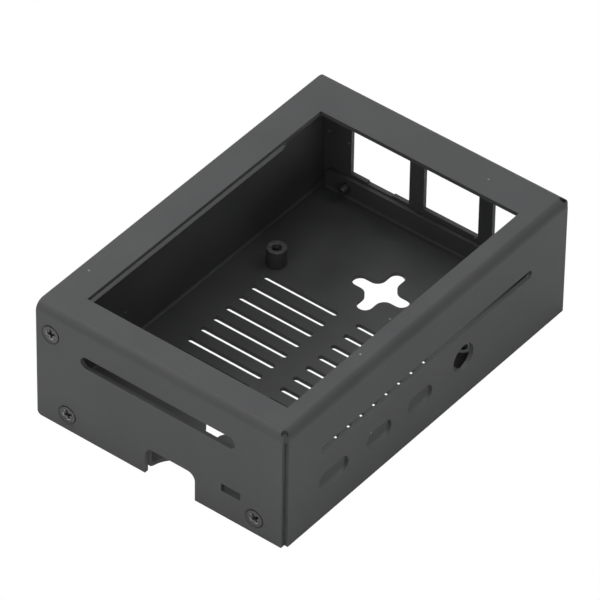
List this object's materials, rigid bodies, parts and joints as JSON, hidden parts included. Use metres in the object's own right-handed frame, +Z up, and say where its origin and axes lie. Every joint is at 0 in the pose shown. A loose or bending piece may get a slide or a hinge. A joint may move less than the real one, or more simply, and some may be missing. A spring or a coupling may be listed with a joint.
{
  "type": "single board computer case",
  "caption": "Black folded sheet metal case for a small single board computer, with an open top, port windows in three walls, long vent slots and a slotted floor.",
  "frame": {"origin": "under the middle of the closed case, on the plane that it stands on", "axes": "+X from the memory card end to the end with the network and data ports, +Y from the side with the power and video ports to the plain side, +Z up"},
  "size_m": [0.0944, 0.0644, 0.0304],
  "materials": {
    "coated_sheet": "fine matt black powder coat",
    "post_metal": "black coated steel, worn to a lighter ring on top",
    "black_screw": "black oxide steel, satin"
  },
  "bodies": {
    "root": {"cover": "coated_sheet", "tray": "coated_sheet", "standoff_1": "post_metal", "standoff_2": "post_metal", "standoff_3": "post_metal", "standoff_4": "post_metal", "screw_1": "black_screw", "screw_2": "black_screw", "screw_3": "black_screw", "screw_4": "black_screw", "screw_5": "black_screw", "screw_6": "black_screw"}
  },
  "joints": []
}
